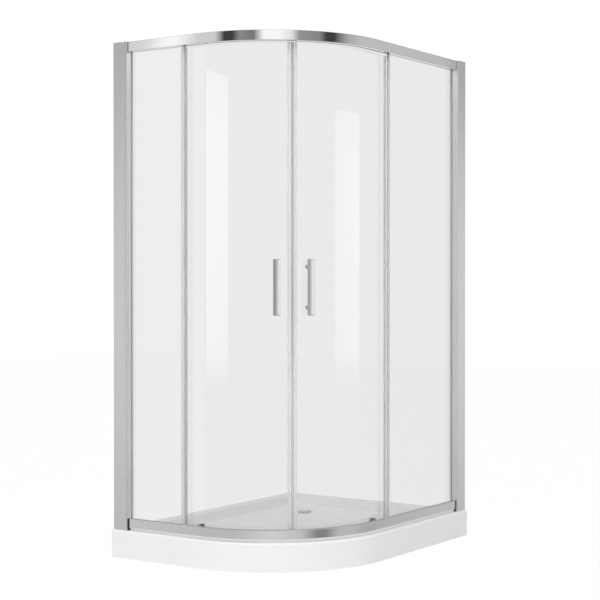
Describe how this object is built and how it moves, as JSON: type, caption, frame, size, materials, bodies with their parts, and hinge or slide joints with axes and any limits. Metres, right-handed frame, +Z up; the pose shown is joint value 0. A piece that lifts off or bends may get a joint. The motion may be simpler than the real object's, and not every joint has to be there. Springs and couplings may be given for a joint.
{
  "type": "corner shower cabin",
  "caption": "Corner shower cabin with a low tray rounded at one corner, fixed panes and curved sliding doors.",
  "frame": {"origin": "on the floor, under the middle of the overall box", "axes": "+X along the short side, towards the open side; +Y along the long side, towards the wall; +Z up"},
  "size_m": [0.9, 1.2, 1.968],
  "materials": {
    "acrylic": "gloss",
    "foam": "matte",
    "pipe_plastic": "satin",
    "black_rubber": "matte",
    "black_plastic": "satin",
    "white_plastic": "satin",
    "chrome": "polished",
    "polished_aluminium": "polished",
    "satin_aluminium": "satin",
    "steel": "satin",
    "glass": "gloss",
    "clear_seal": "satin",
    "magnet": "matte"
  },
  "bodies": {
    "root": {"tray": "acrylic", "tray_carrier": "foam", "trap_body": "pipe_plastic", "trap_gasket": "black_rubber", "trap_flange": "chrome", "flange_screws": "steel", "wall_profile_left": "satin_aluminium", "wall_profile_right": "satin_aluminium", "post_left": "satin_aluminium", "post_right": "satin_aluminium", "post_screws": "steel", "post_caps": "black_plastic", "top_rail": "polished_aluminium", "bottom_rail": "polished_aluminium", "top_connectors": "black_plastic", "bottom_connectors": "black_plastic", "rail_screws": "steel", "door_stops": "black_rubber", "fixed_glass_left": "glass", "fixed_glass_right": "glass", "glazing_gasket_left": "black_rubber", "glazing_gasket_right": "black_rubber", "fixed_seal_left": "clear_seal", "fixed_seal_right": "clear_seal"},
    "drain_cover": {"drain_cover": "chrome", "dip_tube": "pipe_plastic"},
    "door_left": {"door_glass_left": "glass", "magnet_seal_left": "clear_seal", "magnet_strip_left": "magnet", "trailing_seal_left": "clear_seal", "wiper_left": "clear_seal", "bumper_left": "black_rubber", "handle_left": "chrome", "handle_screws_left": "steel", "handle_grommets_left": "black_plastic", "top_hubs_left": "steel", "low_hub_left": "steel", "hub_caps_left": "chrome"},
    "top_wheel_left_rear": {"top_wheel_left_rear": "white_plastic"},
    "top_wheel_left_front": {"top_wheel_left_front": "white_plastic"},
    "low_wheel_left": {"low_wheel_left": "black_plastic"},
    "door_right": {"door_glass_right": "glass", "magnet_seal_right": "clear_seal", "magnet_strip_right": "magnet", "trailing_seal_right": "clear_seal", "wiper_right": "clear_seal", "bumper_right": "black_rubber", "handle_right": "chrome", "handle_screws_right": "steel", "handle_grommets_right": "black_plastic", "top_hubs_right": "steel", "low_hub_right": "steel", "hub_caps_right": "chrome"},
    "top_wheel_right_rear": {"top_wheel_right_rear": "white_plastic"},
    "top_wheel_right_front": {"top_wheel_right_front": "white_plastic"},
    "low_wheel_right": {"low_wheel_right": "black_plastic"}
  },
  "joints": [
    {"name": "drain_cover_lift", "type": "slide", "parent": "root", "child": "drain_cover", "axis": [0, 0, 1], "range_m": [0, 0.06]},
    {"name": "door_left_slide", "type": "hinge", "parent": "root", "child": "door_left", "pos_m": [-0.121, 0.195, 0], "axis": [0, 0, -1], "range_deg": [0, 17.2]},
    {"name": "top_wheel_left_rear_spin", "type": "hinge", "parent": "door_left", "child": "top_wheel_left_rear", "pos_m": [-0.057, -0.575, 1.9513], "axis": [0, 1, 0], "continuous": true},
    {"name": "top_wheel_left_front_spin", "type": "hinge", "parent": "door_left", "child": "top_wheel_left_front", "pos_m": [0.23841, -0.47742, 1.9513], "axis": [-0.6072, 0.7946, 0], "continuous": true},
    {"name": "low_wheel_left_spin", "type": "hinge", "parent": "door_left", "child": "low_wheel_left", "pos_m": [-0.057, -0.551, 0.1423], "axis": [0, 1, 0], "continuous": true},
    {"name": "door_right_slide", "type": "hinge", "parent": "root", "child": "door_right", "pos_m": [-0.403, -0.01, 0], "axis": [0, 0, 1], "range_deg": [0, 16]},
    {"name": "top_wheel_right_rear_spin", "type": "hinge", "parent": "door_right", "child": "top_wheel_right_rear", "pos_m": [0.425, -0.068, 1.9513], "axis": [-1, 0, 0], "continuous": true},
    {"name": "top_wheel_right_front_spin", "type": "hinge", "parent": "door_right", "child": "top_wheel_right_front", "pos_m": [0.32742, -0.38841, 1.9513], "axis": [-0.7946, 0.6072, 0], "continuous": true},
    {"name": "low_wheel_right_spin", "type": "hinge", "parent": "door_right", "child": "low_wheel_right", "pos_m": [0.401, -0.068, 0.1423], "axis": [-1, 0, 0], "continuous": true}
  ],
  "couplings": [
    {"joint": "top_wheel_left_rear_spin", "follows": "door_left_slide", "ratio": -77.3},
    {"joint": "top_wheel_left_front_spin", "follows": "door_left_slide", "ratio": -76.2},
    {"joint": "low_wheel_left_spin", "follows": "door_left_slide", "ratio": -62.4},
    {"joint": "top_wheel_right_rear_spin", "follows": "door_right_slide", "ratio": 83},
    {"joint": "top_wheel_right_front_spin", "follows": "door_right_slide", "ratio": 82.3},
    {"joint": "low_wheel_right_spin", "follows": "door_right_slide", "ratio": 67.2}
  ]
}
